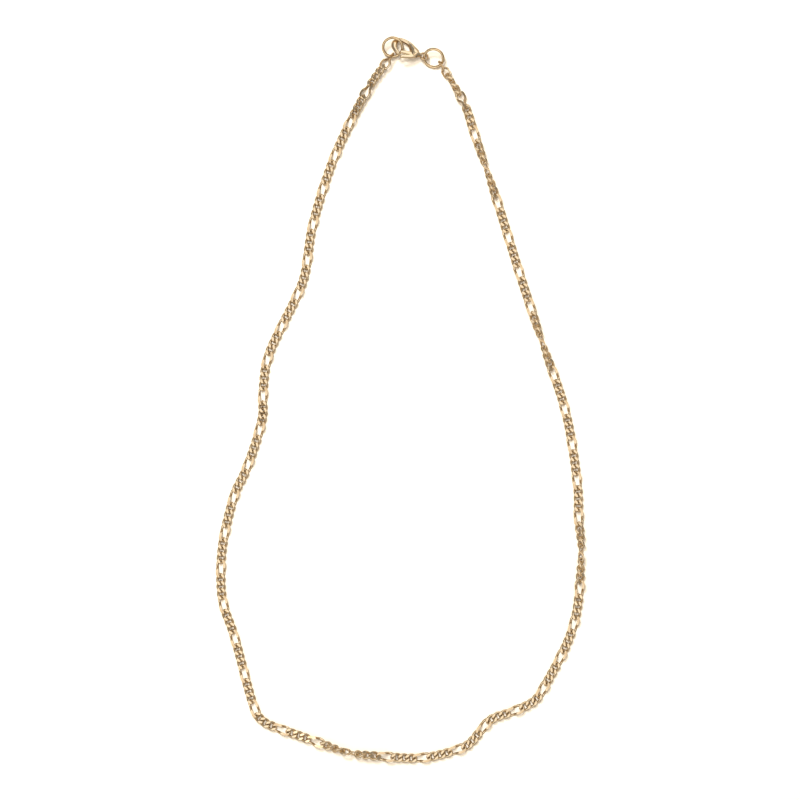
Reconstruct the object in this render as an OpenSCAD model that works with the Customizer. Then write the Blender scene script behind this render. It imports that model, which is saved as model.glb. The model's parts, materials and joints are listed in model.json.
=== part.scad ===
/* [Neck loop] */
// Width of the loop as it lies
loop_w = 94; // [88:1:102]
// Length of the loop as it lies, from the clasp to the front
loop_h = 186; // [174:1:200]

/* [Chain] */
// Outer length of a short link
short_len = 3.24; // [3.1:0.02:3.7]
// Outer width of a short link
short_w = 2.35; // [2.3:0.05:2.6]
// Outer length of a long link
long_len = 5.18; // [4.8:0.02:6.4]
// Outer width of a long link
long_w = 2.4; // [2.35:0.05:2.7]
// Thickness of the links' wire
wire_d = 0.58; // [0.48:0.01:0.6]
// Play in each joint between two links
link_gap = 0.22; // [0.18:0.01:0.3]
// Short links between one long link and the next
shorts = 3; // [1:1:5]
// Turn of a short link's ends out of its middle plane, in degrees
short_turn = 54; // [50:1:58]
// Turn of a long link's ends out of its middle plane, in degrees
long_turn = 36; // [34:1:38]
// Thickness of the chain over the filed faces of its links
chain_t = 1.25; // [1.15:0.05:1.4]

/* [Jump rings] */
// Outer diameter of a jump ring
ring_od = 5.6; // [5.2:0.1:6.2]
// Thickness of a jump ring's wire
ring_wire = 0.6; // [0.5:0.05:0.65]
// Lean of the left ring against the table, in degrees
left_lean = 20; // [18:1:24]
// Rise of the left ring towards the claw's nose, in degrees
left_rise = 8; // [6:0.5:10]
// Lean of the right ring against the table, in degrees
right_lean = 30; // [26:1:34]

/* [Clasp] */
// Length from the nose of the claw to the middle of the tail eye
clasp_len = 9.1; // [8.8:0.1:10]
// Width that the claw's outline is drawn for, back to thumb tab
claw_w = 6.2; // [6:0.1:6.8]
// Width of the claw's curved arm
arm_w = 1.2; // [1.1:0.05:1.3]
// Thickness of the claw at its cheeks
cheek_t = 2; // [1.8:0.1:2.2]
// Thickness of the hook and nose
hook_t = 1; // [0.9:0.05:1.1]
// Thickness of the lever
lever_t = 0.7; // [0.6:0.05:0.8]
// Outer diameter of the tail eye
eye_od = 2.5; // [2.4:0.1:2.8]
// Thickness of the tail eye's wire
eye_wire = 0.55; // [0.5:0.05:0.6]
// Diameter of the lever's pin
pin_d = 0.6; // [0.5:0.05:0.7]
// How far the lever opens inwards, in degrees
lever_swing = 8; // [6:1:10]
// Lean of the claw against the table, in degrees
claw_lean = 30; // [28:1:34]

/* [Hidden] */

// Where the tail eye stands, as shares of half the loop's width and length from its middle, and which
// way the clasp's axis points from nose to tail
EYE = [0.134, 0.958];
clasp_heading = -17;
// Shift of these shares that puts the middle of the whole necklace over the origin
loop_shift = [-0.00225, 0.00062];

// Points of the chain's route between its two jump rings, in order round the neck, as the same shares
ROUTE = [
    [-0.18, 0.866], [-0.36, 0.683], [-0.48, 0.495], [-0.521, 0.363], [-0.565, 0.296],
    [-0.648, 0.212], [-0.735, 0.113], [-0.759, 0.005], [-0.756, -0.028], [-0.775, -0.081],
    [-0.83, -0.167], [-0.866, -0.212], [-0.915, -0.263], [-0.971, -0.375], [-0.99, -0.462],
    [-0.98, -0.565], [-0.915, -0.661], [-0.81, -0.855], [-0.755, -0.898], [-0.66, -0.919],
    [-0.47, -0.952], [-0.28, -0.984], [-0.085, -0.995], [0.12, -1], [0.31, -0.978],
    [0.387, -0.959], [0.46, -0.914], [0.512, -0.889], [0.62, -0.871], [0.722, -0.847],
    [0.785, -0.812], [0.96, -0.629], [1, -0.43], [0.985, -0.33], [0.98, -0.231], [0.915, -0.032],
    [0.785, 0.161], [0.66, 0.355], [0.541, 0.548], [0.415, 0.737], [0.35, 0.833]
];
// Turn of the chain about its own line: share of the way along it, degrees
TURNS = [
    [0, 45], [0.055, 0], [0.455, 0], [0.5, 180], [0.673, 180], [0.718, 360], [0.804, 360], [0.849, 540],
    [0.912, 540], [0.957, 720], [0.967, 720], [1, 835]
];
// The one place where the chain lies slack: share of the way along it, and by how much
slack_at = 0.228;
slack = 0.36;
// Places on the jump rings, in degrees about the ring's own middle: in the claw, in the eye, in a link
left_hook_at = 24;
left_link_at = -75;
right_eye_at = 188;
right_link_at = -22;

// Clearance of pieces that turn or pass beside each other
clear = 0.1;
// Height of the chain over the table, and how far it rises ahead of a higher link, as a share
lift = 0.01;
rise_share = 0.35;
// Part of its full width that a piece keeps where it runs into the round end of the next
inner_share = 0.98;
// Steps between two points of the route and of an outline, stations round a link, sides of its wire
route_steps = 8;
band_steps = 4;
stations = 10;
wire_sides = 5;
// Facets round a link's wire and along its bends, round thicker wire and pins, and round a whole ring
link_round = 24;
bend_round = 48;
wire_round = 32;
ring_round = 72;
// How square a short link looks from above: 2 is an oval
short_square = 2.8;

ring_r = (ring_od - ring_wire) / 2;
joint_r = ring_r - ring_wire / 2 - link_gap / 2;
eye_r = (eye_od - eye_wire) / 2;

// Outlines as shares of clasp_len from the nose, of claw_w across, and of arm_w for the half width:
// the claw from hook tip round the nose to the tail, then the lever's gate and its thumb bar, both
// from the pivot outwards
CLAW = [
    [0.237, -0.255, 0.37], [0.145, -0.124, 0.48], [0.084, 0.038, 0.6], [0.092, 0.239, 0.61],
    [0.181, 0.414, 0.41], [0.35, 0.437, 0.43], [0.525, 0.346, 0.48], [0.639, 0.167, 0.76],
    [0.74, 0.01, 1], [0.82, 0, 0.55], [0.88, 0, 0.38]
];
GATE = [[0.725, -0.089, 0.5], [0.596, -0.082, 0.43], [0.45, -0.105, 0.37], [0.325, -0.138, 0.3]];
THUMB = [[0.725, -0.089, 0.5], [0.599, -0.223, 0.43], [0.47, -0.302, 0.37], [0.363, -0.361, 0.33]];
// Thickness of the claw along its length: share of clasp_len, share of the way from hook_t to cheek_t
PROFILE = [[0.02, 0], [0.4, 0], [0.55, 0.4], [0.68, 1], [0.76, 0.9], [0.9, 0]];
// Middle of the bow where the left ring passes through the claw: shares of clasp_len and claw_w
HOOK = [0.318, 0.155];

function on_table(row) = [(row.x + loop_shift.x) * loop_w / 2, (row.y + loop_shift.y) * loop_h / 2];

// A smooth curve from b to c, between the points a and d before and after them
function curve(a, b, c, d, t) =
    b + (c - a) * t / 2 + (2 * a - 5 * b + 4 * c - d) * t * t / 2 + (3 * b - a - 3 * c + d) * t * t * t / 2;
function smooth(rows, steps) = [
    for (i = [0:len(rows) - 2], k = [0:steps - 1])
        curve(rows[max(i - 1, 0)], rows[i], rows[i + 1], rows[min(i + 2, len(rows) - 1)], k / steps),
    rows[len(rows) - 1]
];
function outline(table, grow = 0) =
    [for (row = table) [row[0] * clasp_len, row[1] * claw_w, row[2] * arm_w + grow]];
pivot = outline(GATE)[0];
hook = [HOOK[0] * clasp_len, HOOK[1] * claw_w, 0];

// Middle line of a short link: a squared oval whose ends turn out of its plane
function sized(c, share) = sign(c) * pow(abs(c), share);
function oval(i) = let (
    a = 360 * i / stations,
    widest = sized(sin(90 - 180 / stations), 2 / short_square),
    x = (short_len - wire_d) / 2 * sized(cos(a), 2 / short_square),
    y = (short_w - wire_d) / 2 * sized(sin(a), 2 / short_square) / widest,
    roll = -short_turn * 2 * x / (short_len - wire_d)
) [x, y * cos(roll), y * sin(roll), roll];
function place(row) = [row[0], row[1], row[2]];
function unit(v) = v / norm(v);
// A link's top and bottom are filed flat
function filed(z) = min(max(z, -chain_t / 2), chain_t / 2);
// The wire's corners round that line
function wire_ring(i) = let (
    here = oval(i),
    along = unit(place(oval(i + 1)) - place(oval(i - 1))),
    normal = [0, -sin(here[3]), cos(here[3])],
    up = unit(normal - along * (normal * along)),
    out = cross(along, up)
) [for (j = [0:wire_sides - 1]) let (
    a = 360 * j / wire_sides,
    p = place(here) + wire_d / 2 * (out * cos(a) + up * sin(a))
) [p.x, p.y, filed(p.z)]];
short_points = [for (i = [0:stations - 1]) each wire_ring(i)];
link_faces = [
    for (i = [0:stations - 1], j = [0:wire_sides - 1], half = [0, 1]) let (
        a = i * wire_sides + j,
        b = i * wire_sides + (j + 1) % wire_sides,
        c = (i + 1) % stations * wire_sides + j,
        d = (i + 1) % stations * wire_sides + (j + 1) % wire_sides
    ) half == 0 ? [a, b, c] : [b, d, c]
];

// A long link's ends are half rings, and each side is an S of two arcs between them
long_r = (long_w - wire_d) / 2 / cos(long_turn);
long_half = (long_len - wire_d) / 2 - long_r;
long_rise = long_r * sin(long_turn);
side_turn = 2 * atan2(long_rise, long_half);
side_r = long_half / sin(side_turn);
// How far a side's wire runs on into the end, in degrees
overlap = 3;
long_corners = [
    for (a = [-90:30:90], side = [-1, 1], b = [0:15:345]) let (z = long_r * sin(a) * sin(side * long_turn))
        [0, long_r * sin(a) * cos(long_turn) + wire_d / 2 * cos(b), filed(z + wire_d / 2 * sin(b))]
];

// Height of a link's middle over the table at its turn
function lowest(pts, turn) = -min([for (p = pts) p.y * sin(turn) + p.z * cos(turn)]);

// A vector turned about x, then y, then z
function turned(v, about) = let (
    a = [v.x, v.y * cos(about.x) - v.z * sin(about.x), v.y * sin(about.x) + v.z * cos(about.x)],
    b = [a.x * cos(about.y) + a.z * sin(about.y), a.y, a.z * cos(about.y) - a.x * sin(about.y)]
) [b.x * cos(about.z) - b.y * sin(about.z), b.x * sin(about.z) + b.y * cos(about.z), b.z];

left_turn = [left_lean, left_rise, clasp_heading];
right_turn = [right_lean, 0, clasp_heading];
function on_ring(at, radius, turn) = turned([radius * cos(at), radius * sin(at), 0], turn);

// Each ring lies as high as the link that hangs on it lets it, the right one at least on the table
left_height = lift + lowest(long_corners, TURNS[0][1]) - on_ring(left_link_at, joint_r, left_turn).z;
right_height = lift + max(
    ring_r * sin(right_lean) + ring_wire / 2,
    lowest(long_corners, TURNS[len(TURNS) - 1][1]) - on_ring(right_link_at, joint_r, right_turn).z
);
eye_height = right_height + on_ring(right_eye_at, ring_r, right_turn).z;
eye = [on_table(EYE).x, on_table(EYE).y, eye_height];
right_middle = eye - on_ring(right_eye_at, ring_r, right_turn);

hook_height = left_height + on_ring(left_hook_at, ring_r, left_turn).z;
// The claw lifts its nose until the ring runs through the middle of its bow
reach = clasp_len - hook.x;
drop = hook.y * sin(claw_lean);
claw_pitch = asin((hook_height - eye_height) / norm([reach, drop])) + atan2(drop, reach);
claw_turn = [-claw_lean, claw_pitch, clasp_heading];
left_middle = eye + turned(hook - [clasp_len, 0, 0], claw_turn) - on_ring(left_hook_at, ring_r, left_turn);

start = left_middle + on_ring(left_link_at, joint_r, left_turn);
finish = right_middle + on_ring(right_link_at, joint_r, right_turn);

// The chain's line on the table: a smooth curve through the route's points, and its running length
points = concat(
    [[start.x, start.y]],
    [for (row = ROUTE) on_table(row)],
    [[finish.x, finish.y]]
);
track = smooth(points, route_steps);
last = len(track) - 1;
run = [for (i = 0, s = 0; i <= last; s = s + (i < last ? norm(track[i + 1] - track[i]) : 0), i = i + 1) s];
x_at = [for (i = [0:last]) [run[i], track[i].x]];
y_at = [for (i = [0:last]) [run[i], track[i].y]];

// Distances from joint to joint, the number of links that fits, and the stretch that closes the loop
short_span = short_len - 2 * wire_d - link_gap;
long_span = long_len - 2 * wire_d - link_gap;
group = shorts + 1;
group_span = long_span + shorts * short_span;
groups = round((run[last] - long_span) / group_span);
links = groups * group + 1;
stretch = (run[last] + slack) / (groups * group_span + long_span);
function is_long(k) = k % group == 0;
function joint_run(k) = stretch
    * (floor(k / group) * group_span + (k % group > 0 ? long_span + (k % group - 1) * short_span : 0))
    - (k > slack_at * links ? slack : 0);
function turn_of(k) = lookup(k / (links - 1), TURNS);

rest_heights = [for (k = [0:links - 1]) lowest(is_long(k) ? long_corners : short_points, turn_of(k))];
// A joint stands as high as the highest of the links around it, and starts to rise before higher ones
function highest(k, reach) =
    max([for (j = [max(k - reach - 1, 0):min(k + reach, links - 1)]) rest_heights[j]]);
function joint_height(k) = lift + (1 - rise_share) * highest(k, 1) + rise_share * highest(k, 2);
function joint(k) = let (s = min(max(joint_run(k), 0), run[last])) k == 0 ? start : k == links ? finish
    : [lookup(s, x_at), lookup(s, y_at), joint_height(k)];

module short_link() {
    polyhedron(points = short_points, faces = link_faces);
}

module arc_wire(radius, from, sweep, wire) {
    rotate([0, 0, from]) rotate_extrude(angle = sweep, $fn = bend_round)
        translate([radius, 0]) circle(d = wire, $fn = link_round);
}

// Half of a side, a little finer than the end it runs into
module long_side() {
    translate([long_half, long_r * cos(long_turn), side_r - long_rise]) rotate([90, 0, 0])
        arc_wire(side_r, -90 - side_turn, side_turn + overlap, inner_share * wire_d);
}

// The sleeve over the middle of a side, where its two halves meet
module long_middle() {
    translate([0, long_r * cos(long_turn), 0]) rotate([0, 90 + side_turn, 0])
        cylinder(d = wire_d, h = wire_d, center = true, $fn = link_round);
}

module long_link() {
    intersection() {
        for (flip = [0, 180]) {
            rotate([0, flip, 0]) {
                translate([long_half, 0, 0]) rotate([-long_turn, 0, 0]) arc_wire(long_r, -90, 180, wire_d);
                long_side();
                rotate([180, 0, 0]) long_side();
            }
            rotate([flip, 0, 0]) long_middle();
        }
        cube([2 * long_len, 2 * long_w, chain_t], center = true);
    }
}

module chain(first, past) {
    color("gold") for (k = [first:past - 1]) {
        from = joint(k);
        to = joint(k + 1);
        way = to - from;
        translate((from + to) / 2)
            rotate([turn_of(k), -atan2(way.z, norm([way.x, way.y])), atan2(way.y, way.x)])
                if (is_long(k)) long_link(); else short_link();
    }
}

module chain_left() {
    chain(0, floor(links / 2));
}

module chain_right() {
    chain(floor(links / 2), links);
}

module wire_loop(radius, wire) {
    rotate_extrude($fn = ring_round) translate([radius, 0]) circle(d = wire, $fn = wire_round);
}

module jump_ring(middle, turn) {
    color("goldenrod") translate(middle) rotate(turn) wire_loop(ring_r, ring_wire);
}

module jump_ring_left() {
    jump_ring(left_middle, left_turn);
}

module jump_ring_right() {
    jump_ring(right_middle, right_turn);
}

// A flat band along rows of x, y and half width, with a round far end
module band(table) {
    rows = smooth(table, band_steps);
    ends = len(rows) - 1;
    across = [
        for (i = [0:ends]) let (way = unit(rows[min(i + 1, ends)] - rows[max(i - 1, 0)]))
            unit([-way.y, way.x]) * rows[i].z
    ];
    polygon(concat(
        [for (i = [0:ends]) [rows[i].x, rows[i].y] + across[i]],
        [for (i = [ends:-1:0]) [rows[i].x, rows[i].y] - across[i]]
    ));
    translate([rows[ends].x, rows[ends].y]) circle(r = rows[ends].z, $fn = bend_round);
}

// The claw's own frame: x from nose to tail, y towards its back
module in_claw() {
    translate(eye) rotate(claw_turn) translate([-clasp_len, 0, 0]) children();
}

module claw_plate() {
    linear_extrude(cheek_t, center = true) {
        band(outline(CLAW));
        translate([outline(CLAW)[0].x, outline(CLAW)[0].y]) circle(r = outline(CLAW)[0].z, $fn = bend_round);
    }
}

module claw_thickness() {
    rotate([90, 0, 0]) linear_extrude(3 * claw_w, center = true)
        band([for (row = PROFILE) [row[0] * clasp_len, 0, (hook_t + row[1] * (cheek_t - hook_t)) / 2]]);
}

module lever_plate(thickness, grow = 0) {
    for (table = [GATE, THUMB]) linear_extrude(thickness, center = true) band(outline(table, grow));
    pivot_pin(2 * (pivot.z + grow), thickness);
}

// The lever turned open about its pin, by degrees
module swung(degrees) {
    translate([pivot.x, pivot.y, 0]) rotate([0, 0, -degrees]) translate([-pivot.x, -pivot.y, 0]) children();
}

// A pin of that diameter and length through the pivot
module pivot_pin(wide, long) {
    translate([pivot.x, pivot.y, 0]) cylinder(d = wide, h = long, center = true, $fn = wire_round);
}

module clasp_body() {
    color("gold") in_claw() difference() {
        union() {
            intersection() {
                claw_plate();
                claw_thickness();
            }
            translate([clasp_len, 0, 0]) wire_loop(eye_r, eye_wire);
        }
        for (open = [0, lever_swing / 2, lever_swing]) swung(open) lever_plate(lever_t + 2 * clear, clear);
        pivot_pin(pin_d + clear / 2, 2 * cheek_t);
    }
}

module clasp_lever() {
    color("goldenrod") in_claw() difference() {
        lever_plate(lever_t);
        pivot_pin(pin_d + clear, 2 * lever_t);
    }
}

module clasp_pin() {
    color("darkgoldenrod") in_claw() pivot_pin(pin_d, cheek_t - clear);
}

chain_left();
chain_right();
jump_ring_left();
jump_ring_right();
clasp_body();
clasp_lever();
clasp_pin();
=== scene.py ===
import json
import math

import bmesh
import bpy
from bpy.props import FloatProperty, FloatVectorProperty, IntProperty, PointerProperty
from mathutils import Matrix, Vector


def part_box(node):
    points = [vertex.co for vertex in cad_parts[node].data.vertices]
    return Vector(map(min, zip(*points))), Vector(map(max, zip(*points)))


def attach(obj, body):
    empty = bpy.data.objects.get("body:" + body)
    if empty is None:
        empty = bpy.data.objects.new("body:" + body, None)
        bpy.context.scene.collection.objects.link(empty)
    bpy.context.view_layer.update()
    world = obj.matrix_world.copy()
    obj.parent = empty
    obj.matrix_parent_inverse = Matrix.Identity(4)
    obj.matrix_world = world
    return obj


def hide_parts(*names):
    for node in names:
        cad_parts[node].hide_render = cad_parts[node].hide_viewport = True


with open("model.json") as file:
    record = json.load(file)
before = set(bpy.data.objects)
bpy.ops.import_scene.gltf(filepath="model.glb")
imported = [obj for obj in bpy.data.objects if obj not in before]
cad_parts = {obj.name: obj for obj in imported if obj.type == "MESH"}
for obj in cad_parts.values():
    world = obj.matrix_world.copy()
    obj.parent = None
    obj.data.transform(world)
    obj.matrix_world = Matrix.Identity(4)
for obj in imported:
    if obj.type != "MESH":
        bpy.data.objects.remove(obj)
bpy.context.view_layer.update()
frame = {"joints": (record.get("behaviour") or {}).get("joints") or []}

bl_info = {
    "name": "Figaro chain necklace",
    "version": (1, 0, 0),
    "blender": (4, 5, 0),
    "location": "View3D > Sidebar > Necklace",
    "description": "Builds the links, rings and clasp of a gold figaro chain necklace",
    "category": "Object",
}

MM = 0.001
MOVING = "lever"
RESTING = "necklace"
FLOOR_HALF = 1.5
LIGHT_DISTANCE = 1.2
# Each light: its direction, size and colour, and whether the metal mirrors it. The two small ones throw
# the shadows and aren't mirrored, the large ones light the metal
LIGHTS = (
    ("key", (-0.42, 0.9, 1.4), 0.2, "sun", False),
    ("spot", (-0.14, 0.3, 1.0), 0.2, "sun", False),
    ("card", (0.53, 0.84, 0.53), 0.9, "warmth", True),
    ("fill", (-0.7, -0.7, 1.0), 1.5, "warmth", True),
    ("top", (0.0, 0.0, 1.0), 1.2, "warmth", True),
)

# Shares of half the loop's width and length: the chain's route from the left ring round to the right one
ROUTE = (
    (-0.18, 0.866), (-0.36, 0.683), (-0.48, 0.495), (-0.521, 0.363), (-0.565, 0.296),
    (-0.648, 0.212), (-0.735, 0.113), (-0.759, 0.005), (-0.756, -0.028), (-0.775, -0.081),
    (-0.83, -0.167), (-0.866, -0.212), (-0.915, -0.263), (-0.971, -0.375), (-0.99, -0.462),
    (-0.98, -0.565), (-0.915, -0.661), (-0.81, -0.855), (-0.755, -0.898), (-0.66, -0.919),
    (-0.47, -0.952), (-0.28, -0.984), (-0.085, -0.995), (0.12, -1), (0.31, -0.978),
    (0.387, -0.959), (0.46, -0.914), (0.512, -0.889), (0.62, -0.871), (0.722, -0.847),
    (0.785, -0.812), (0.96, -0.629), (1, -0.43), (0.985, -0.33), (0.98, -0.231), (0.915, -0.032),
    (0.785, 0.161), (0.66, 0.355), (0.541, 0.548), (0.415, 0.737), (0.35, 0.833),
)
# Shift of the route from the frame's origin: the camera stands over the same spot
ROUTE_SHIFT = Vector((-0.10575, 0.05766)) * MM
# Steps of the smooth route from one row to the next
ROUTE_STEPS = 8
# Share of the way along the chain, turn about its own line in degrees
TURNS = (
    (0, 45), (0.055, 0), (0.455, 0), (0.5, 180), (0.673, 180), (0.718, 360), (0.804, 360),
    (0.849, 540), (0.912, 540), (0.957, 720), (0.967, 720), (1, 835),
)
# Share of the links after which the chain lies slack
SLACK_AT = 0.228
# Share of the second neighbours' height in the height of a joint
RISE_SHARE = 0.35
# How square a short link's oval is: 2 is an ellipse
SHORT_SQUARE = 2.8
# Stations round a link and sides of its wire
SHORT_MESH = (44, 14)
LONG_MESH = (64, 16)
# Painted shade on the sides of the links' wire and on the sides of rings and claw, standing for the dark
# surroundings the metal mirrors there, and patina in the links' joints
SHORT_SIDE_SHADE = 0.25
LONG_SIDE_SHADE = 0.6
JOINT_WEAR = 0.35
SIDE_SHADE = 0.65
# Share of the half width where the painted shade on a side begins, and the share over which it grows
SHADE_FROM = 0.55
SHADE_OVER = 0.35

# Claw and lever outlines: shares of the clasp's length from the nose, of its width across, and of the
# arm's width for the half width
CLAW = (
    (0.237, -0.255, 0.37), (0.145, -0.124, 0.48), (0.084, 0.038, 0.6), (0.092, 0.239, 0.61),
    (0.181, 0.414, 0.41), (0.35, 0.437, 0.43), (0.525, 0.346, 0.48), (0.639, 0.167, 0.76),
    (0.74, 0.01, 1), (0.82, 0, 0.55), (0.88, 0, 0.38),
)
GATE = ((0.725, -0.089, 0.5), (0.596, -0.082, 0.43), (0.45, -0.105, 0.37), (0.325, -0.138, 0.3))
THUMB = ((0.725, -0.089, 0.5), (0.599, -0.223, 0.43), (0.47, -0.302, 0.37), (0.363, -0.361, 0.33))
# Claw thickness: share of the clasp's length, share of the way from the hook's to the cheeks'
PROFILE = ((0.02, 0), (0.4, 0), (0.55, 0.4), (0.68, 1), (0.76, 0.9), (0.9, 0))
# Stations from one row of an outline to the next, sides of the claw's arm, and how square it is
ARM_STEPS = 6
ARM_SIDES = 40
ARM_SQUARE = 2.1
# Stations round the tail eye and the jump rings and sides of their wire, and sides of the pin
EYE_MESH = (64, 20)
RING_MESH = (96, 24)
ROD_SIDES = 48
# Rounding of the lever's rims as a share of its thickness and of the pin's as a share of its diameter,
# each with its steps
LEVER_RIM = (0.3, 4)
PIN_RIM = (1 / 8, 3)
# Angles in degrees over which an edge of the clasp or of a ring stays sharp
CLASP_SHARP = 32
RING_SHARP = 60
# Painted shade on the claw, dark spots in the hook's bend and at the neck: share of its length and width,
# radius of the spot, strength
CLAW_SHADE_SPOTS = ((0.14, 0.35, 1.5 * MM, 0.6), (0.76, 0.18, 1.0 * MM, 0.9))
# Each gold: its colour and the one it drifts to, its roughness as a share of the polish, the spread of
# the roughness, and the scale and height of the polish marks
GOLDS = {
    "polished_gold": ("gold", "pale_gold", 1, 0.12, 3000, 0.01 * MM),
    # The filed top faces take the paler gold: a painted highlight
    "filed_gold": ("pale_gold", "gold", 1, 0.1, 6000, 0.004 * MM),
    # The rings' darker gold is painted shade, standing for the dark surroundings they mirror
    "ring_gold": ("ring_gold", "gold", 0.7, 0.08, 2500, 0.006 * MM),
    "cast_gold": ("gold", "pale_gold", 1.15, 0.14, 1500, 0.012 * MM),
}
DRIFT_SCALE = 350
MARK_STRENGTH = 0.4


class ChainSizes(bpy.types.PropertyGroup):
    loop_width: FloatProperty(
        name="Loop width", description="Width of the loop as it lies", default=94 * MM, unit="LENGTH")
    loop_length: FloatProperty(
        name="Loop length", description="Length of the loop from clasp to front",
        default=186 * MM, unit="LENGTH")
    short_length: FloatProperty(
        name="Short link length", description="Outer length of a short link",
        default=3.3 * MM, unit="LENGTH")
    short_width: FloatProperty(
        name="Short link width", description="Outer width of a short link",
        default=2.41 * MM, unit="LENGTH")
    long_length: FloatProperty(
        name="Long link length", description="Outer length of a long link",
        default=5.24 * MM, unit="LENGTH")
    long_width: FloatProperty(
        name="Long link width", description="Outer width of a long link",
        default=2.46 * MM, unit="LENGTH")
    wire: FloatProperty(
        name="Wire", description="Thickness of the links' wire", default=0.64 * MM, unit="LENGTH")
    gap: FloatProperty(
        name="Joint play", description="Play in each joint between two links",
        default=0.16 * MM, unit="LENGTH")
    thickness: FloatProperty(
        name="Chain thickness", description="Thickness over the filed faces",
        default=1.25 * MM, unit="LENGTH")
    shorts: IntProperty(
        name="Short links", description="Short links between one long link and the next", default=3)
    short_turn: FloatProperty(
        name="Short link twist", description="Turn of a short link's ends out of its middle plane",
        default=math.radians(54), unit="ROTATION")
    long_turn: FloatProperty(
        name="Long link twist", description="Turn of a long link's ends out of its middle plane",
        default=math.radians(36), unit="ROTATION")
    slack: FloatProperty(
        name="Slack", description="How much the chain lies slack at one place",
        default=0.36 * MM, unit="LENGTH")
    lift: FloatProperty(
        name="Lift", description="Height of the lowest links over the table",
        default=0.01 * MM, unit="LENGTH")


class FindingSizes(bpy.types.PropertyGroup):
    ring_outer: FloatProperty(
        name="Jump ring", description="Outer diameter of a jump ring", default=5.68 * MM, unit="LENGTH")
    ring_wire: FloatProperty(
        name="Jump ring wire", description="Thickness of a jump ring's wire",
        default=0.68 * MM, unit="LENGTH")
    clasp_length: FloatProperty(
        name="Clasp length", description="From the claw's nose to the middle of the tail eye",
        default=9.1 * MM, unit="LENGTH")
    claw_width: FloatProperty(
        name="Claw width", description="Width the claw's outline is drawn for",
        default=6.2 * MM, unit="LENGTH")
    arm_width: FloatProperty(
        name="Arm width", description="Width of the claw's curved arm", default=1.2 * MM, unit="LENGTH")
    cheek_thickness: FloatProperty(
        name="Cheek thickness", description="Thickness of the claw at its cheeks",
        default=2 * MM, unit="LENGTH")
    hook_thickness: FloatProperty(
        name="Hook thickness", description="Thickness of the hook and nose",
        default=1 * MM, unit="LENGTH")
    lever_thickness: FloatProperty(
        name="Lever thickness", description="Thickness of the lever", default=0.7 * MM, unit="LENGTH")
    lever_swing: FloatProperty(
        name="Lever swing", description="How far the lever opens",
        default=math.radians(8), unit="ROTATION")
    eye_outer: FloatProperty(
        name="Tail eye", description="Outer diameter of the tail eye", default=2.5 * MM, unit="LENGTH")
    eye_wire: FloatProperty(
        name="Tail eye wire", description="Thickness of the tail eye", default=0.55 * MM, unit="LENGTH")
    pin: FloatProperty(
        name="Pin", description="Diameter of the lever's pin", default=0.6 * MM, unit="LENGTH")
    clear: FloatProperty(
        name="Clearance", description="Clearance between lever and claw",
        default=0.1 * MM, unit="LENGTH")


class Finishes(bpy.types.PropertyGroup):
    gold: FloatVectorProperty(
        name="Gold", description="Colour of the polished gold", default=(0.93, 0.785, 0.55),
        size=3, min=0, max=1, subtype="COLOR")
    # Pale gold: the colour the polished and cast gold drift to, and on the filed top faces a painted
    # highlight
    pale_gold: FloatVectorProperty(
        name="Pale gold", description="Colour of the gold where it is freshly filed",
        default=(0.93, 0.845, 0.69),
        size=3, min=0, max=1, subtype="COLOR")
    # Darker copy of the gold for the jump rings: painted shade, standing for the dark surroundings the
    # rings mirror
    ring_gold: FloatVectorProperty(
        name="Ring gold", description="Colour of the jump rings' darker gold",
        default=(0.66, 0.51, 0.32),
        size=3, min=0, max=1, subtype="COLOR")
    # Patina colour: patina in the links' joints, and also painted shade on the sides of wires and on spots
    # of the claw
    patina_shade_colour: FloatVectorProperty(
        name="Patina", description="Colour of the gold down in the joints", default=(0.5, 0.33, 0.17),
        size=3, min=0, max=1, subtype="COLOR")
    polish: FloatProperty(
        name="Roughness", description="Roughness of the polished gold",
        default=0.14, min=0, max=1, subtype="FACTOR")


class StageSettings(bpy.types.PropertyGroup):
    floor: FloatVectorProperty(
        name="Floor", description="Colour of the floor", default=(0.93, 0.885, 0.81),
        size=3, min=0, max=1, subtype="COLOR")
    mirrored_floor: FloatVectorProperty(
        name="Floor in the metal", description="Colour of the floor as the metal mirrors it",
        default=(0.38, 0.31, 0.23), size=3, min=0, max=1, subtype="COLOR")
    picture_width: FloatProperty(
        name="Picture width", description="Width of the table that the camera sees",
        default=208 * MM, unit="LENGTH")
    camera_height: FloatProperty(
        name="Camera height", description="Height of the camera over the table",
        default=0.7, unit="LENGTH")
    key_power: FloatProperty(
        name="Key light", description="Power of the light at the upper left", default=10, unit="POWER")
    spot_power: FloatProperty(
        name="High light", description="Power of the light almost overhead", default=6, unit="POWER")
    card_power: FloatProperty(
        name="Card", description="Power of the low light behind the clasp", default=2.4, unit="POWER")
    fill_power: FloatProperty(
        name="Fill", description="Power of the broad light at the lower left",
        default=4.9, unit="POWER")
    top_power: FloatProperty(
        name="Top light", description="Power of the light overhead", default=4.0, unit="POWER")
    sun: FloatVectorProperty(
        name="Sun", description="Colour of the two small lights that throw the shadows",
        default=(1.0, 0.95, 0.87), size=3, min=0, max=1, subtype="COLOR")
    warmth: FloatVectorProperty(
        name="Warmth", description="Colour of the light from the room and from overhead",
        default=(1.0, 0.9, 0.77), size=3, min=0, max=1, subtype="COLOR")
    room: FloatProperty(
        name="Room", description="Brightness of the room round the table", default=0.28, min=0)


# Curves and turns

def curve(a, b, c, d, t):
    """A smooth curve from b to c, between the points a and d before and after them."""
    return (b + (c - a) * t / 2 + (2 * a - 5 * b + 4 * c - d) * t * t / 2
            + (3 * b - a - 3 * c + d) * t * t * t / 2)


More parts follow.
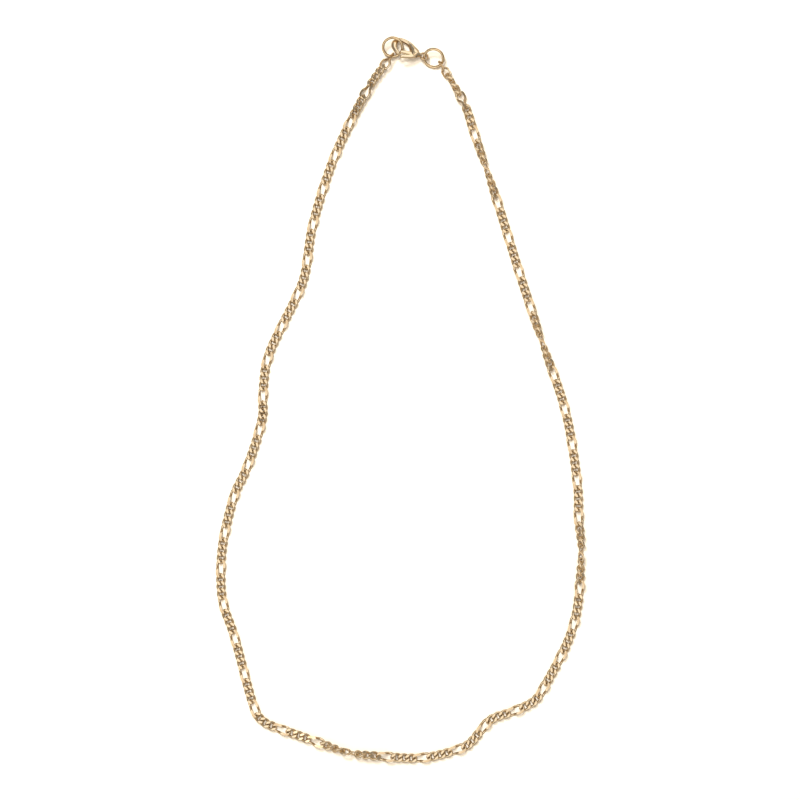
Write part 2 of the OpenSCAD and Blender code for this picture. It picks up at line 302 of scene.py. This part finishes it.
def smooth(rows, steps):
    """Points on the smooth curve through the rows, a number of steps from each row to the next."""
    rows = [Vector(row) for row in rows]
    last = len(rows) - 1
    line = []
    for i in range(last):
        a, b, c, d = rows[max(i - 1, 0)], rows[i], rows[i + 1], rows[min(i + 2, last)]
        line += [curve(a, b, c, d, k / steps) for k in range(steps)]
    return line + [rows[last]]


def lookup(x, table):
    """The table's value at x, on a straight line between its rows."""
    if x <= table[0][0]:
        return table[0][1]
    for (a, low), (b, high) in zip(table, table[1:]):
        if x <= b:
            return low + (high - low) * (x - a) / (b - a) if b > a else high
    return table[-1][1]


def turned(x, y, z):
    """The turn about x, then y, then z, in degrees."""
    return (Matrix.Rotation(math.radians(z), 4, "Z") @ Matrix.Rotation(math.radians(y), 4, "Y")
            @ Matrix.Rotation(math.radians(x), 4, "X"))


def middle(node):
    """Middle of a node's box."""
    low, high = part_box(node)
    return (low + high) / 2


# Heading of the clasp, and how the two jump rings lean against the table and the claw
HEADING = -17
LEFT_TURN = turned(20, 8, HEADING)
RIGHT_TURN = turned(30, 0, HEADING)
# Where the chain hangs on each ring, in degrees round it
LEFT_HANG = -75
RIGHT_HANG = -22


def on_ring(at, radius, turn):
    """A place on a turned ring, from its middle, by its angle in degrees."""
    return turn @ Vector((radius * math.cos(math.radians(at)), radius * math.sin(math.radians(at)), 0))


def claw_frame(findings):
    """The claw's own frame: x from nose to tail, y towards its back, z along the lever's pin."""
    joint = frame["joints"][0]
    z = -Vector(joint["axis"]).normalized()
    heading = Vector((math.cos(math.radians(HEADING)), math.sin(math.radians(HEADING)), 0))
    x = Vector((heading.x, heading.y, -(z.x * heading.x + z.y * heading.y) / z.z)).normalized()
    y = z.cross(x)
    turn = Matrix((x, y, z)).transposed().to_4x4()
    pivot = Vector((GATE[0][0] * findings.clasp_length, GATE[0][1] * findings.claw_width, 0))
    return Matrix.Translation(Vector(joint["pos_m"]) - turn @ pivot) @ turn


# Meshes

def outward(bm):
    """Turns a closed mesh's faces outwards."""
    bmesh.ops.recalc_face_normals(bm, faces=bm.faces)
    if bm.calc_volume(signed=True) < 0:
        bmesh.ops.reverse_faces(bm, faces=bm.faces)


def finished(bm, name, body, materials, nodes, sharp=None):
    """Makes the object of a finished mesh: at the origin, riding on its body, standing for its nodes."""
    outward(bm)
    mesh = bpy.data.meshes.new(name)
    bm.to_mesh(mesh)
    bm.free()
    if sharp is not None:
        mesh.shade_smooth()
        mesh.set_sharp_from_angle(angle=math.radians(sharp))
    for material in materials:
        mesh.materials.append(material)
    piece = bpy.data.objects.new(name, mesh)
    bpy.context.scene.collection.objects.link(piece)
    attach(piece, body)
    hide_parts(*nodes)
    return piece


def painted_side_shade(share, strength=SIDE_SHADE):
    """Painted shade on the sides of a wire or bar, standing for the dark surroundings the metal mirrors
    there, by the share of its half width.
    """
    return strength * min(max((abs(share) - SHADE_FROM) / SHADE_OVER, 0), 1)


def torus(bm, radius, wire, steps, sides, matrix=Matrix.Identity(4)):
    """A closed ring of round wire about z: a circle spun once round."""
    upright = Matrix.Translation((radius, 0, 0)) @ Matrix.Rotation(math.pi / 2, 4, "X")
    circle = bmesh.ops.create_circle(bm, segments=sides, radius=wire / 2, matrix=upright)["verts"]
    edges = list({edge for vert in circle for edge in vert.link_edges})
    before = set(bm.verts) - set(circle)
    bmesh.ops.spin(bm, geom=circle + edges, cent=(0, 0, 0), axis=(0, 0, 1), angle=math.tau,
                   steps=steps, use_merge=True)
    new = [vert for vert in bm.verts if vert not in before]
    bmesh.ops.transform(bm, matrix=matrix, verts=new)
    return new


def short_line(sizes):
    """Middle line of a short link: a squared oval whose ends turn out of its plane."""
    half_length = (sizes.short_length - sizes.wire) / 2
    half_width = (sizes.short_width - sizes.wire) / 2
    power = 2 / SHORT_SQUARE

    def line(share):
        c, s = math.cos(math.tau * share), math.sin(math.tau * share)
        x = half_length * math.copysign(abs(c) ** power, c)
        y = half_width * math.copysign(abs(s) ** power, s)
        roll = -sizes.short_turn * x / half_length
        return Vector((x, y * math.cos(roll), y * math.sin(roll))), roll
    return line


def long_line(sizes):
    """Middle line of a long link: two half rings turned against each other, and an S on each side."""
    turn = sizes.long_turn
    radius = (sizes.long_width - sizes.wire) / 2 / math.cos(turn)
    half = (sizes.long_length - sizes.wire) / 2 - radius
    rise = radius * math.sin(turn)
    side_turn = 2 * math.atan2(rise, half)
    side_radius = half / math.sin(side_turn)
    bend = math.pi / 2 * radius
    side = side_radius * side_turn
    quarter = bend + side

    def line(share):
        # The way along one quarter of the link, from the end's tip to the middle of the side
        quadrant, along = divmod(share * 4, 1)
        quadrant = int(quadrant) % 4
        way = (along if quadrant % 2 == 0 else 1 - along) * quarter
        if way < bend:
            a = way / radius
            x = half + radius * math.cos(a)
            y = radius * math.sin(a) * math.cos(turn)
            z = -rise * math.sin(a)
        else:
            a = (way - bend) / side_radius
            x = half - side_radius * math.sin(a)
            y = radius * math.cos(turn)
            z = side_radius * (1 - math.cos(a)) - rise
        roll = -turn * min(x / half, 1)
        if quadrant in (1, 2):
            x, z, roll = -x, -z, -roll
        if quadrant in (2, 3):
            y, z = -y, -z
        return Vector((x, y, z)), roll
    return line


def link(line, length, sizes, stations, wear):
    """One link: a wire ring laid on its line, with its top and bottom filed flat."""
    bm = bmesh.new()
    torus(bm, 1, sizes.wire, *stations)
    patina_shade_layer = bm.verts.layers.float.new("crevice")
    for vert in bm.verts:
        share = math.atan2(vert.co.y, vert.co.x) / math.tau % 1
        place, roll = line(share)
        along = (line((share + 0.002) % 1)[0] - line((share - 0.002) % 1)[0]).normalized()
        normal = Vector((0, -math.sin(roll), math.cos(roll)))
        up = (normal - along * normal.dot(along)).normalized()
        out = math.hypot(vert.co.x, vert.co.y) - 1
        # Patina in the joints: on the inner side of the wire, round each end of the link
        end = min(max(abs(place.x) / length * 6 - 1.6, 0), 1)
        joint = JOINT_WEAR * end * min(max(0.35 - out / sizes.wire * 2, 0), 1)
        # Darkened by patina in the joints and by painted shade on the wire's sides, where the metal mirrors
        # dark surroundings
        vert[patina_shade_layer] = max(joint, painted_side_shade(out / sizes.wire * 2, wear))
        vert.co = place + along.cross(up) * out + up * vert.co.z
    for face in bm.faces:
        face.smooth = True
    for side in (1, -1):
        cut = bmesh.ops.bisect_plane(
            bm, geom=bm.verts[:] + bm.edges[:] + bm.faces[:], dist=1e-8,
            plane_co=(0, 0, side * sizes.thickness / 2), plane_no=(0, 0, side), clear_outer=True)
        edges = [edge for edge in cut["geom_cut"] if isinstance(edge, bmesh.types.BMEdge)]
        for face in bmesh.ops.edgeloop_fill(bm, edges=edges, mat_nr=1)["faces"]:
            face.smooth = False
    mesh = bpy.data.meshes.new("link")
    bm.to_mesh(mesh)
    bm.free()
    return mesh


def lowest(mesh, turn):
    """Height of a link's middle over the table when it is turned about its own line."""
    c, s = math.cos(turn), math.sin(turn)
    return -min(vert.co.y * s + vert.co.z * c for vert in mesh.vertices)


class Chain:
    """Where each link lies: the joints along the route, and each link's turn."""

    def __init__(self, sizes, findings, meshes):
        radius = (findings.ring_outer - findings.ring_wire) / 2 - findings.ring_wire / 2 - sizes.gap / 2
        self.start = middle("jump_ring_left") + on_ring(LEFT_HANG, radius, LEFT_TURN)
        self.finish = middle("jump_ring_right") + on_ring(RIGHT_HANG, radius, RIGHT_TURN)
        half = Vector((sizes.loop_width / 2, sizes.loop_length / 2))
        points = [self.start.xy]
        points += [Vector((row[0] * half.x, row[1] * half.y)) + ROUTE_SHIFT for row in ROUTE]
        track = smooth(points + [self.finish.xy], ROUTE_STEPS)
        run = [0]
        for a, b in zip(track, track[1:]):
            run.append(run[-1] + (b - a).length)
        self.x_at = [(s, point.x) for s, point in zip(run, track)]
        self.y_at = [(s, point.y) for s, point in zip(run, track)]
        self.length = run[-1]
        self.short_span = sizes.short_length - 2 * sizes.wire - sizes.gap
        self.long_span = sizes.long_length - 2 * sizes.wire - sizes.gap
        self.group = sizes.shorts + 1
        self.group_span = self.long_span + sizes.shorts * self.short_span
        groups = round((self.length - self.long_span) / self.group_span)
        self.links = groups * self.group + 1
        self.slack = sizes.slack
        self.stretch = (self.length + sizes.slack) / (groups * self.group_span + self.long_span)
        self.lift = sizes.lift
        self.heights = [lowest(meshes[self.is_long(k)], self.turn(k)) for k in range(self.links)]

    def is_long(self, k):
        return k % self.group == 0

    def turn(self, k):
        return math.radians(lookup(k / (self.links - 1), TURNS))

    def run(self, k):
        groups, rest = divmod(k, self.group)
        way = groups * self.group_span + (self.long_span + (rest - 1) * self.short_span if rest else 0)
        way = self.stretch * way - (self.slack if k > SLACK_AT * self.links else 0)
        return min(max(way, 0), self.length)

    def highest(self, k, reach):
        return max(self.heights[max(k - reach - 1, 0):min(k + reach, self.links - 1) + 1])

    def joint(self, k):
        if k == 0:
            return self.start
        if k == self.links:
            return self.finish
        height = self.lift + (1 - RISE_SHARE) * self.highest(k, 1) + RISE_SHARE * self.highest(k, 2)
        way = self.run(k)
        return Vector((lookup(way, self.x_at), lookup(way, self.y_at), height))

    def place(self, k):
        a, b = self.joint(k), self.joint(k + 1)
        way = b - a
        pitch = -math.atan2(way.z, way.xy.length)
        return (Matrix.Translation((a + b) / 2)
                @ Matrix.Rotation(math.atan2(way.y, way.x), 4, "Z") @ Matrix.Rotation(pitch, 4, "Y")
                @ Matrix.Rotation(self.turn(k), 4, "X"))


def half_chain(name, node, chain, meshes, first, past, materials):
    """The links from first to past, laid in their places and made one piece."""
    bm = bmesh.new()
    for k in range(first, past):
        before = len(bm.verts)
        bm.from_mesh(meshes[chain.is_long(k)])
        bm.verts.ensure_lookup_table()
        bmesh.ops.transform(bm, matrix=chain.place(k), verts=bm.verts[before:])
    return finished(bm, name, RESTING, materials, [node])


def bar(bm, rows, segments, square, cap_steps=4):
    """A swept bar through rows of x, y, half width and half thickness, with rounded ends."""
    line = [Vector(row) for row in rows]
    last = len(line) - 1
    stations = []
    for i, row in enumerate(line):
        way = (line[min(i + 1, last)] - line[max(i - 1, 0)]).xy.normalized()
        stations.append((row.xy, way, row.z, row.w))
    caps = []
    for i, back in ((0, -1), (last, 1)):
        place, way, wide, thick = stations[i]
        bends = [math.pi / 2 * step / (cap_steps + 0.3) for step in range(1, cap_steps + 1)]
        caps.append([
            (place + way * back * wide * math.sin(a), way,
             wide * math.cos(a), thick * (0.35 + 0.65 * math.cos(a)))
            for a in bends
        ])
    stations = caps[0][::-1] + stations + caps[1]
    rings = len(stations)
    patina_shade_layer = bm.verts.layers.float.new("crevice")
    sphere = bmesh.ops.create_uvsphere(bm, u_segments=segments, v_segments=rings + 1, radius=1)["verts"]
    power = 2 / square
    for vert in sphere:
        ring = round(math.acos(max(min(vert.co.z, 1), -1)) / math.pi * (rings + 1)) - 1
        pole = ring < 0 or ring >= rings
        place, way, wide, thick = stations[min(max(ring, 0), rings - 1)]
        across = Vector((-way.y, way.x))
        a = math.atan2(vert.co.y, vert.co.x)
        c, s = math.cos(a), math.sin(a)
        u = 0 if pole else wide * math.copysign(abs(c) ** power, c)
        v = 0 if pole else thick * math.copysign(abs(s) ** power, s)
        spot = place + across * u
        vert.co = (spot.x, spot.y, v)
        # Painted shade on the bar's sides, where the metal mirrors dark surroundings
        vert[patina_shade_layer] = painted_side_shade(c)
    return sphere


def outline(table, findings, grow=0):
    """The table's rows in metres, with the half width grown by a clearance."""
    return [(x * findings.clasp_length, y * findings.claw_width, wide * findings.arm_width + grow)
            for x, y, wide in table]


def rod(radius, length, spot):
    """A round rod along z, as a scratch object."""
    bm = bmesh.new()
    bmesh.ops.create_cone(bm, cap_ends=True, segments=ROD_SIDES, radius1=radius, radius2=radius,
                          depth=length, matrix=Matrix.Translation(spot))
    return loose(bm, "rod")


def taken(piece):
    """A scratch object's mesh, taken out of it."""
    bm = bmesh.new()
    bm.from_mesh(piece.data)
    bpy.data.objects.remove(piece)
    return bm


def boolean(piece, other, operation):
    """Joins or cuts a piece with another one, which is used up."""
    modifier = piece.modifiers.new(operation.lower(), "BOOLEAN")
    modifier.operation = operation
    modifier.solver = "EXACT"
    modifier.object = other
    mesh = bpy.data.meshes.new_from_object(piece.evaluated_get(bpy.context.evaluated_depsgraph_get()))
    piece.modifiers.clear()
    old = piece.data
    piece.data = mesh
    bpy.data.meshes.remove(old)
    bpy.data.objects.remove(other)


def loose(bm, name):
    """A scratch object of a mesh, for cutting with."""
    outward(bm)
    mesh = bpy.data.meshes.new(name)
    bm.to_mesh(mesh)
    bm.free()
    piece = bpy.data.objects.new(name, mesh)
    bpy.context.scene.collection.objects.link(piece)
    return piece


def plate(rows, thickness, cap_steps=10):
    """A flat plate along rows of x, y and half width with round ends: one face, extruded."""
    line = [Vector(row) for row in rows]
    last = len(line) - 1
    ways = [(line[min(i + 1, last)] - line[max(i - 1, 0)]).xy.normalized() for i in range(last + 1)]
    rim = []
    for side, order in ((1, range(last + 1)), (-1, range(last, -1, -1))):
        for i in order:
            rim.append(line[i].xy + Vector((-ways[i].y, ways[i].x)) * side * line[i].z)
        end = order[-1]
        arm = rim[-1] - line[end].xy
        for step in range(1, cap_steps):
            rim.append(line[end].xy + Matrix.Rotation(-math.pi * step / cap_steps, 2) @ arm)
    bm = bmesh.new()
    face = bm.faces.new([bm.verts.new((spot.x, spot.y, -thickness / 2)) for spot in rim])
    top = bmesh.ops.extrude_face_region(bm, geom=[face])["geom"]
    lifted = [part for part in top if isinstance(part, bmesh.types.BMVert)]
    bmesh.ops.translate(bm, vec=(0, 0, thickness), verts=lifted)
    return loose(bm, "plate")


def swept(rows, pivot, swing):
    """The rows of a plate that covers all of a lever arm's swing: turned by half of it, and widened."""
    turn = Matrix.Rotation(-swing / 2, 2)
    wide = []
    for row in rows:
        arm = row.xy - pivot
        spot = pivot + turn @ arm
        wide.append((spot.x, spot.y, row.z + arm.length * math.sin(swing / 2)))
    return wide


def round_rims(bm, size, share, segments):
    """Rounds the rims between a plate's flat faces and its sides, by a share of its size."""
    bmesh.ops.dissolve_limit(bm, angle_limit=math.radians(0.5), verts=bm.verts, edges=bm.edges)
    rims = [edge for edge in bm.edges if len(edge.link_faces) == 2
            and sorted(abs(face.normal.z) > 0.99 for face in edge.link_faces) == [False, True]]
    bmesh.ops.bevel(bm, geom=rims, offset=size * share, offset_type="OFFSET", segments=segments,
                    profile=0.5, affect="EDGES", material=-1, clamp_overlap=False)


# Materials

def polish_group():
    """Polish marks and wear over gold: noise at two sizes, for its roughness, tint and height."""
    group = bpy.data.node_groups.get("polish_wear")
    if group:
        return group
    group = bpy.data.node_groups.new("polish_wear", "ShaderNodeTree")
    for name, kind, default in (("Roughness", "NodeSocketFloat", 0.15), ("Spread", "NodeSocketFloat", 0.1),
                                ("Scale", "NodeSocketFloat", 3000)):
        socket = group.interface.new_socket(name=name, in_out="INPUT", socket_type=kind)
        socket.default_value = default
    for name in ("Roughness", "Height", "Tint"):
        group.interface.new_socket(name=name, in_out="OUTPUT", socket_type="NodeSocketFloat")
    nodes, links = group.nodes, group.links
    inside, outside = nodes.new("NodeGroupInput"), nodes.new("NodeGroupOutput")
    place = nodes.new("ShaderNodeTexCoord")
    fine, broad = nodes.new("ShaderNodeTexNoise"), nodes.new("ShaderNodeTexNoise")
    for noise, detail in ((fine, 3), (broad, 2)):
        links.new(place.outputs["Object"], noise.inputs["Vector"])
        noise.inputs["Detail"].default_value = detail
    links.new(inside.outputs["Scale"], fine.inputs["Scale"])
    broad.inputs["Scale"].default_value = DRIFT_SCALE
    spread = nodes.new("ShaderNodeMath")
    spread.operation = "MULTIPLY_ADD"
    centred = nodes.new("ShaderNodeMath")
    centred.operation = "SUBTRACT"
    centred.inputs[1].default_value = 0.5
    links.new(fine.outputs["Fac"], centred.inputs[0])
    links.new(centred.outputs[0], spread.inputs[0])
    links.new(inside.outputs["Spread"], spread.inputs[1])
    links.new(inside.outputs["Roughness"], spread.inputs[2])
    links.new(spread.outputs[0], outside.inputs["Roughness"])
    links.new(fine.outputs["Fac"], outside.inputs["Height"])
    links.new(broad.outputs["Fac"], outside.inputs["Tint"])
    return group


def gold(name, finish):
    """Gold of one finish: a tint that drifts, polish marks, and the patina colour where the mask attribute
    says: patina in the joints, painted shade on the sides of wires and on spots of the claw.
    """
    if name in bpy.data.materials:
        return bpy.data.materials[name]
    colour, other, roughness, spread, scale, height = GOLDS[name]
    material = bpy.data.materials.new(name)
    material.use_nodes = True
    nodes, links = material.node_tree.nodes, material.node_tree.links
    shader = nodes["Principled BSDF"]
    shader.inputs["Metallic"].default_value = 1
    wear = nodes.new("ShaderNodeGroup")
    wear.node_tree = polish_group()
    wear.inputs["Roughness"].default_value = finish.polish * roughness
    wear.inputs["Spread"].default_value = spread
    wear.inputs["Scale"].default_value = scale
    tint = nodes.new("ShaderNodeMix")
    tint.data_type = "RGBA"
    tint.inputs[6].default_value = (*getattr(finish, colour), 1)
    tint.inputs[7].default_value = (*getattr(finish, other), 1)
    links.new(wear.outputs["Tint"], tint.inputs[0])
    dark = nodes.new("ShaderNodeMix")
    dark.data_type = "RGBA"
    dark.inputs[7].default_value = (*finish.patina_shade_colour, 1)
    links.new(tint.outputs[2], dark.inputs[6])
    # The mask mixes in the patina colour: patina in the joints, painted shade on wire sides and claw spots
    crevice = nodes.new("ShaderNodeAttribute")
    crevice.attribute_name = "crevice"
    links.new(crevice.outputs["Fac"], dark.inputs[0])
    links.new(dark.outputs[2], shader.inputs["Base Color"])
    links.new(wear.outputs["Roughness"], shader.inputs["Roughness"])
    relief = nodes.new("ShaderNodeBump")
    relief.inputs["Distance"].default_value = height
    relief.inputs["Strength"].default_value = MARK_STRENGTH
    links.new(wear.outputs["Height"], relief.inputs["Height"])
    links.new(relief.outputs["Normal"], shader.inputs["Normal"])
    return material


# Operators

class NECKLACE_OT_chain(bpy.types.Operator):
    """Builds the two halves of the chain from long and short curb links"""
    bl_idname = "necklace.chain"
    bl_label = "Chain"

    def execute(self, context):
        scene = context.scene
        sizes, findings, finish = scene.necklace_chain, scene.necklace_findings, scene.necklace_finishes
        meshes = {False: link(short_line(sizes), sizes.short_length, sizes, SHORT_MESH, SHORT_SIDE_SHADE),
                  True: link(long_line(sizes), sizes.long_length, sizes, LONG_MESH, LONG_SIDE_SHADE)}
        chain = Chain(sizes, findings, meshes)
        materials = [gold("polished_gold", finish), gold("filed_gold", finish)]
        split = chain.links // 2
        half_chain("links_left", "chain_left", chain, meshes, 0, split, materials)
        half_chain("links_right", "chain_right", chain, meshes, split, chain.links, materials)
        for mesh in meshes.values():
            bpy.data.meshes.remove(mesh)
        return {"FINISHED"}


class NECKLACE_OT_rings(bpy.types.Operator):
    """Builds the two jump rings"""
    bl_idname = "necklace.rings"
    bl_label = "Jump rings"

    def execute(self, context):
        findings, finish = context.scene.necklace_findings, context.scene.necklace_finishes
        material = gold("ring_gold", finish)
        radius = (findings.ring_outer - findings.ring_wire) / 2
        for side, turn in (("left", LEFT_TURN), ("right", RIGHT_TURN)):
            bm = bmesh.new()
            torus(bm, radius, findings.ring_wire, *RING_MESH)
            patina_shade_layer = bm.verts.layers.float.new("crevice")
            for vert in bm.verts:
                # Painted shade on the ring's sides, where the metal mirrors dark surroundings
                vert[patina_shade_layer] = painted_side_shade((vert.co.xy.length - radius) / findings.ring_wire * 2)
            place = Matrix.Translation(middle("jump_ring_" + side)) @ turn
            bmesh.ops.transform(bm, matrix=place, verts=bm.verts)
            finished(bm, "ring_" + side, RESTING, [material], ["jump_ring_" + side], RING_SHARP)
        return {"FINISHED"}


class NECKLACE_OT_clasp(bpy.types.Operator):
    """Builds the claw with its tail eye, its lever and the lever's pin"""
    bl_idname = "necklace.clasp"
    bl_label = "Clasp"

    def execute(self, context):
        findings, finish = context.scene.necklace_findings, context.scene.necklace_finishes
        place = claw_frame(findings)
        material = gold("cast_gold", finish)
        pivot = Vector((*outline(GATE, findings)[0][:2], 0))

        # Claw: the arm swept from hook tip to tail, then the eye
        def half_thickness(x):
            share = lookup(x / findings.clasp_length, PROFILE)
            hook, cheek = findings.hook_thickness, findings.cheek_thickness
            return (hook + share * (cheek - hook)) / 2

        rows = [(*row, half_thickness(row.x)) for row in smooth(outline(CLAW, findings), ARM_STEPS)]
        bm = bmesh.new()
        bar(bm, rows, ARM_SIDES, ARM_SQUARE)
        claw = loose(bm, "claw")
        bm = bmesh.new()
        torus(bm, (findings.eye_outer - findings.eye_wire) / 2, findings.eye_wire, *EYE_MESH,
              Matrix.Translation((findings.clasp_length, 0, 0)))
        boolean(claw, loose(bm, "eye"), "UNION")
        slot = findings.lever_thickness + 2 * findings.clear
        gate, thumb = (smooth(outline(table, findings, findings.clear), ARM_STEPS)
                       for table in (GATE, THUMB))
        cutter = plate(swept(gate, pivot.xy, findings.lever_swing), slot)
        boolean(cutter, plate(swept(thumb, pivot.xy, findings.lever_swing), slot), "UNION")
        boolean(claw, cutter, "DIFFERENCE")
        bore = rod(findings.pin / 2 + findings.clear / 4, 2 * findings.cheek_thickness, pivot)
        boolean(claw, bore, "DIFFERENCE")
        bm = taken(claw)
        patina_shade_layer = bm.verts.layers.float.get("crevice") or bm.verts.layers.float.new("crevice")
        # Painted shade: dark spots in the hook's bend and at the neck
        for along, across, radius, strength in CLAW_SHADE_SPOTS:
            spot = Vector((along * findings.clasp_length, across * findings.claw_width))
            for vert in bm.verts:
                vert[patina_shade_layer] = max(vert[patina_shade_layer], strength * max(1 - (vert.co.xy - spot).length / radius, 0))
        bmesh.ops.transform(bm, matrix=place, verts=bm.verts)
        finished(bm, "claw", RESTING, [material], ["clasp_body"], CLASP_SHARP)

        # Lever: gate and thumb tab, joined at the boss round the pin
        gate, thumb = (smooth(outline(table, findings), ARM_STEPS) for table in (GATE, THUMB))
        lever = plate(gate, findings.lever_thickness)
        boolean(lever, plate(thumb, findings.lever_thickness), "UNION")
        bm = taken(lever)
        round_rims(bm, findings.lever_thickness, *LEVER_RIM)
        lever = loose(bm, "lever")
        bore = rod(findings.pin / 2 + findings.clear / 2, 2 * findings.lever_thickness, pivot)
        boolean(lever, bore, "DIFFERENCE")
        bm = taken(lever)
        bmesh.ops.transform(bm, matrix=place, verts=bm.verts)
        finished(bm, "gate_lever", MOVING, [material], ["clasp_lever"], CLASP_SHARP)

        # Pin: a rod with bevelled heads
        bm = taken(rod(findings.pin / 2, findings.cheek_thickness - findings.clear, pivot))
        round_rims(bm, findings.pin, *PIN_RIM)
        bmesh.ops.transform(bm, matrix=place, verts=bm.verts)
        finished(bm, "pin", RESTING, [material], ["clasp_pin"], CLASP_SHARP)
        return {"FINISHED"}


class NECKLACE_OT_stage(bpy.types.Operator):
    """Builds the floor, the lights and the camera"""
    bl_idname = "necklace.stage"
    bl_label = "Stage"

    def execute(self, context):
        stage = context.scene.necklace_stage
        bm = bmesh.new()
        bmesh.ops.create_grid(bm, x_segments=1, y_segments=1, size=FLOOR_HALF)
        mesh = bpy.data.meshes.new("floor")
        bm.to_mesh(mesh)
        bm.free()
        floor = bpy.data.objects.new("floor", mesh)
        context.scene.collection.objects.link(floor)
        material = bpy.data.materials.new("paper")
        material.use_nodes = True
        shader = material.node_tree.nodes["Principled BSDF"]
        shader.inputs["Roughness"].default_value = 0.8
        # The metal mirrors a darker table, as if black cards stood round it: its outlines come out dark
        nodes, links = material.node_tree.nodes, material.node_tree.links
        tone, rays = nodes.new("ShaderNodeMix"), nodes.new("ShaderNodeLightPath")
        tone.data_type = "RGBA"
        tone.inputs[6].default_value = (*stage.floor, 1)
        tone.inputs[7].default_value = (*stage.mirrored_floor, 1)
        links.new(rays.outputs["Is Glossy Ray"], tone.inputs[0])
        links.new(tone.outputs[2], shader.inputs["Base Color"])
        mesh.materials.append(material)

        for name, direction, size, colour, mirrored in LIGHTS:
            lamp = bpy.data.lights.new(name, "AREA")
            lamp.size = size
            lamp.energy = getattr(stage, name + "_power")
            lamp.color = getattr(stage, colour)
            lamp_object = bpy.data.objects.new(name, lamp)
            way = Vector(direction).normalized()
            lamp_object.location = way * LIGHT_DISTANCE
            lamp_object.rotation_euler = way.to_track_quat("Z", "Y").to_euler()
            lamp_object.visible_glossy = mirrored
            context.scene.collection.objects.link(lamp_object)

        world = bpy.data.worlds.new("room")
        context.scene.world = world
        world.use_nodes = True
        background = world.node_tree.nodes["Background"]
        background.inputs["Color"].default_value = (*stage.warmth, 1)
        background.inputs["Strength"].default_value = stage.room

        camera = bpy.data.cameras.new("camera")
        camera.sensor_width = 36
        camera.lens = camera.sensor_width * stage.camera_height / stage.picture_width
        camera_object = bpy.data.objects.new("camera", camera)
        camera_object.location = (ROUTE_SHIFT.x, ROUTE_SHIFT.y, stage.camera_height)
        context.scene.collection.objects.link(camera_object)
        context.scene.camera = camera_object
        context.scene.view_settings.view_transform = "Standard"
        return {"FINISHED"}


class NECKLACE_PT_panel(bpy.types.Panel):
    bl_idname = "NECKLACE_PT_panel"
    bl_label = "Figaro chain necklace"
    bl_space_type = "VIEW_3D"
    bl_region_type = "UI"
    bl_category = "Necklace"

    def draw(self, context):
        for group in (context.scene.necklace_chain, context.scene.necklace_findings,
                      context.scene.necklace_finishes, context.scene.necklace_stage):
            box = self.layout.box()
            for name in group.__annotations__:
                box.prop(group, name)
        for operator in OPERATORS:
            self.layout.operator(operator.bl_idname)


GROUPS = {"necklace_chain": ChainSizes, "necklace_findings": FindingSizes, "necklace_finishes": Finishes,
          "necklace_stage": StageSettings}
OPERATORS = (NECKLACE_OT_stage, NECKLACE_OT_chain, NECKLACE_OT_rings, NECKLACE_OT_clasp)


def register():
    for cls in (*GROUPS.values(), *OPERATORS, NECKLACE_PT_panel):
        bpy.utils.register_class(cls)
    for name, group in GROUPS.items():
        setattr(bpy.types.Scene, name, PointerProperty(type=group))


def unregister():
    for name in GROUPS:
        delattr(bpy.types.Scene, name)
    for cls in reversed((*GROUPS.values(), *OPERATORS, NECKLACE_PT_panel)):
        bpy.utils.unregister_class(cls)


def main():
    register()
    bpy.ops.necklace.stage()
    bpy.ops.necklace.chain()
    bpy.ops.necklace.rings()
    bpy.ops.necklace.clasp()


if __name__ == "__main__":
    main()
